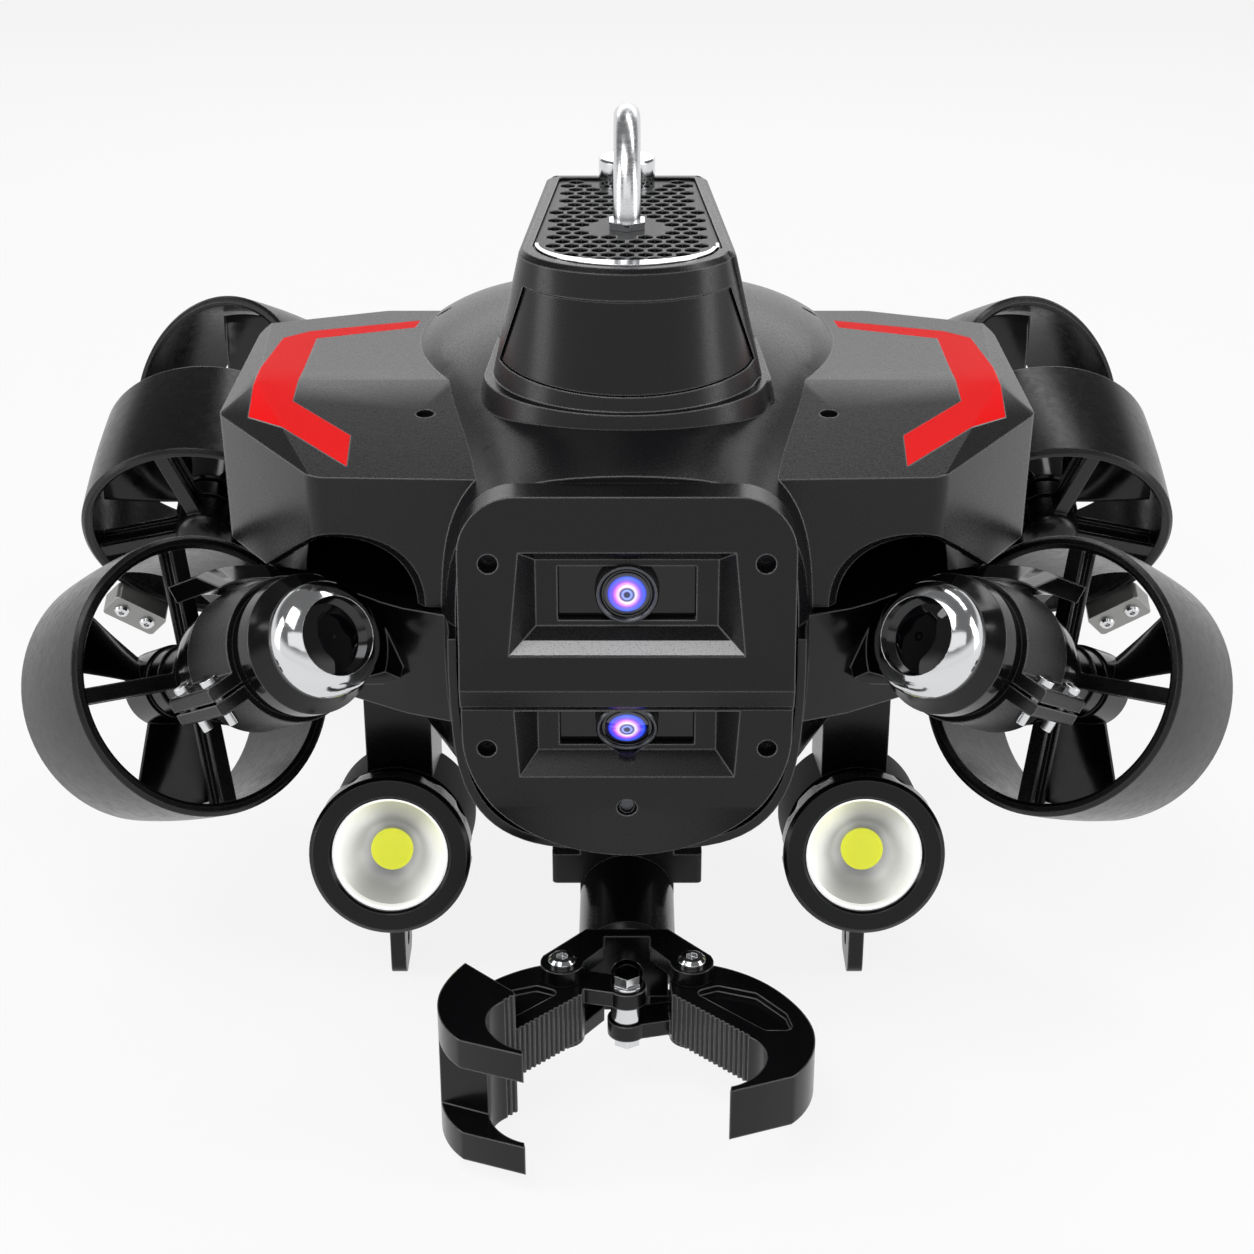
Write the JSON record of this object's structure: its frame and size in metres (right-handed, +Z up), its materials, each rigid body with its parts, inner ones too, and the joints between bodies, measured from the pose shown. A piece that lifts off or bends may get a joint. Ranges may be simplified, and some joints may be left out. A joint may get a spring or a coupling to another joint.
{
  "type": "underwater inspection rov",
  "caption": "Underwater inspection vehicle with a smooth hull, ducted propellers on struts, camera nose, side lamps, sensor pods, tow bow and a forked gripper.",
  "frame": {"origin": "centre of the overall box, on the floor under the feet", "axes": "+X to the right as seen from the nose, +Y from the nose to the stern, +Z up"},
  "size_m": [0.5046, 0.7, 0.331],
  "materials": {
    "shell_satin": "satin dark grey",
    "shell_gloss": "glossy black",
    "red_inlay": "satin red",
    "panel_black": "fine moulded black",
    "grille_dark": "dark mesh",
    "polished_steel": "polished stainless steel",
    "screw_dark": "blackened steel",
    "window_dark": "smoked cover",
    "camera_metal": "machined",
    "anodised": "black anodised",
    "jaw_black": "black hard coat",
    "trim_aluminium": "bead blasted",
    "lens_dark": "dark lens",
    "reflector": "bright reflector",
    "led_yellow": "phosphor yellow",
    "lamp_glass": "clear cover",
    "duct_black": "satin black moulding",
    "propeller_black": "moulded black"
  },
  "bodies": {
    "hull": {"hull_upper_shell": "shell_satin", "hull_lower_shell": "shell_gloss", "chevron_inlays": "red_inlay", "tower_housing": "shell_satin", "tower_front_panel": "panel_black", "honeycomb_grille": "grille_dark", "grille_trim": "polished_steel", "tow_bail": "polished_steel", "bail_fixings": "polished_steel", "nose_panel": "panel_black", "shell_screws": "screw_dark", "camera_windows": "window_dark", "camera_modules": "camera_metal", "depth_sensor": "camera_metal", "electronics_canister": "anodised", "battery_left": "anodised", "battery_right": "anodised", "tether_connector": "anodised", "gripper_tube": "anodised", "gripper_bracket": "panel_black", "gripper_yoke": "anodised", "jaw_pins": "polished_steel", "feet": "panel_black", "trim_blocks": "trim_aluminium", "trim_screws": "polished_steel", "pod_body_left": "shell_gloss", "pod_body_right": "shell_gloss", "pod_clamp_left": "panel_black", "pod_clamp_right": "panel_black", "pod_bezels": "polished_steel", "pod_lenses": "lens_dark", "pod_clamp_screws": "polished_steel", "lamp_body_left": "anodised", "lamp_body_right": "anodised", "lamp_bezels": "anodised", "lamp_reflectors": "reflector", "lamp_leds": "led_yellow", "lamp_glasses": "lamp_glass", "lamp_saddles": "panel_black", "motors_front": "anodised", "duct_front_left": "duct_black", "duct_front_right": "duct_black", "motors_middle": "anodised", "duct_middle_left": "duct_black", "duct_middle_right": "duct_black", "motors_rear": "anodised", "duct_rear_left": "duct_black", "duct_rear_right": "duct_black"},
    "propeller_front_left": {"propeller_front_left": "propeller_black"},
    "propeller_front_right": {"propeller_front_right": "propeller_black"},
    "propeller_middle_left": {"propeller_middle_left": "propeller_black"},
    "propeller_middle_right": {"propeller_middle_right": "propeller_black"},
    "propeller_rear_left": {"propeller_rear_left": "propeller_black"},
    "propeller_rear_right": {"propeller_rear_right": "propeller_black"},
    "left_jaw": {"left_jaw": "jaw_black"},
    "right_jaw": {"right_jaw": "jaw_black"},
    "push_rod": {"push_rod": "polished_steel", "link_pin": "polished_steel"}
  },
  "joints": [
    {"name": "spin_front_left", "type": "hinge", "parent": "hull", "child": "propeller_front_left", "pos_m": [-0.17862, -0.18592, 0.11547], "axis": [0.6007, -0.6478, 0.4686], "continuous": true},
    {"name": "spin_front_right", "type": "hinge", "parent": "hull", "child": "propeller_front_right", "pos_m": [0.17862, -0.18592, 0.11547], "axis": [-0.6007, -0.6478, 0.4686], "continuous": true},
    {"name": "spin_middle_left", "type": "hinge", "parent": "hull", "child": "propeller_middle_left", "pos_m": [-0.187, -0.02291, 0.13512], "axis": [0, -0.9061, -0.4231], "continuous": true},
    {"name": "spin_middle_right", "type": "hinge", "parent": "hull", "child": "propeller_middle_right", "pos_m": [0.187, -0.02291, 0.13512], "axis": [0, -0.9061, -0.4231], "continuous": true},
    {"name": "spin_rear_left", "type": "hinge", "parent": "hull", "child": "propeller_rear_left", "pos_m": [-0.1942, 0.12242, 0.12013], "axis": [-0.4916, -0.7675, 0.4114], "continuous": true},
    {"name": "spin_rear_right", "type": "hinge", "parent": "hull", "child": "propeller_rear_right", "pos_m": [0.1942, 0.12242, 0.12013], "axis": [0.4916, -0.7675, 0.4114], "continuous": true},
    {"name": "left_jaw_swing", "type": "hinge", "parent": "hull", "child": "left_jaw", "pos_m": [-0.0237, -0.28, 0.033], "axis": [0, 0, 1], "range_deg": [-4, 32]},
    {"name": "right_jaw_swing", "type": "hinge", "parent": "hull", "child": "right_jaw", "pos_m": [0.0237, -0.28, 0.033], "axis": [0, 0, 1], "range_deg": [-32, 4]},
    {"name": "push_rod_slide", "type": "slide", "parent": "hull", "child": "push_rod", "axis": [0, 1, 0], "range_m": [-0.0018, 0.0137]}
  ],
  "couplings": [
    {"joint": "right_jaw_swing", "follows": "left_jaw_swing", "ratio": -1},
    {"joint": "push_rod_slide", "follows": "left_jaw_swing", "m_per_rad": 0.024368}
  ]
}
